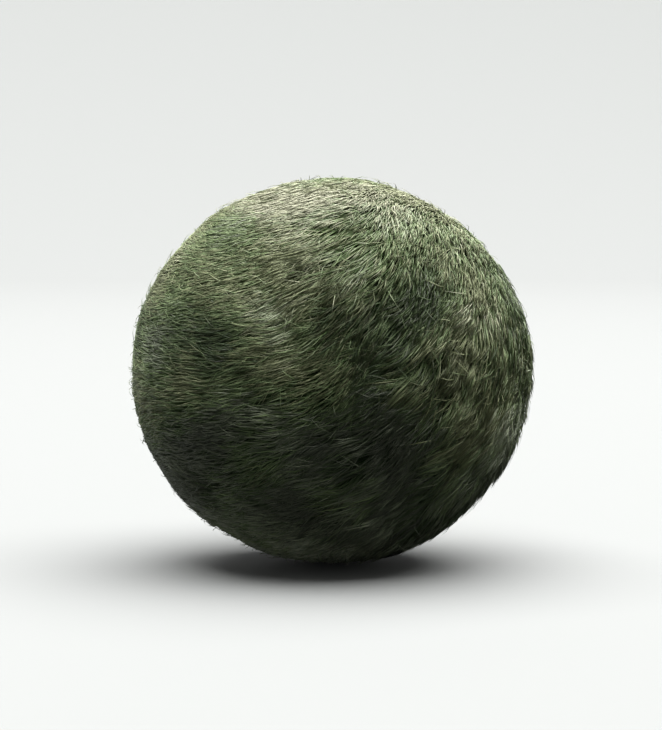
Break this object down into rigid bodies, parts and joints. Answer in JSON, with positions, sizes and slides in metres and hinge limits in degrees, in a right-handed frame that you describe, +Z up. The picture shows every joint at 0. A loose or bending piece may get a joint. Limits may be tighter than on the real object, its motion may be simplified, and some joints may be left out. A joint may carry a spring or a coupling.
{
  "type": "marimo moss ball",
  "caption": "Soft round aquarium moss ball with a combed, swirling coat of fine grey-green fibres, resting on a small flat spot.",
  "frame": {"origin": "centre of the ball's underside, at the level of its small flat spot", "axes": "+Z up through the ball, -Y towards the pictured front, +X to the ball's right as seen from the front"},
  "size_m": [0.048, 0.048, 0.046],
  "materials": {
    "moss_green": "fine matted fibres, softly glossy along their length"
  },
  "bodies": {
    "root": {"moss_ball": "moss_green"}
  },
  "joints": []
}
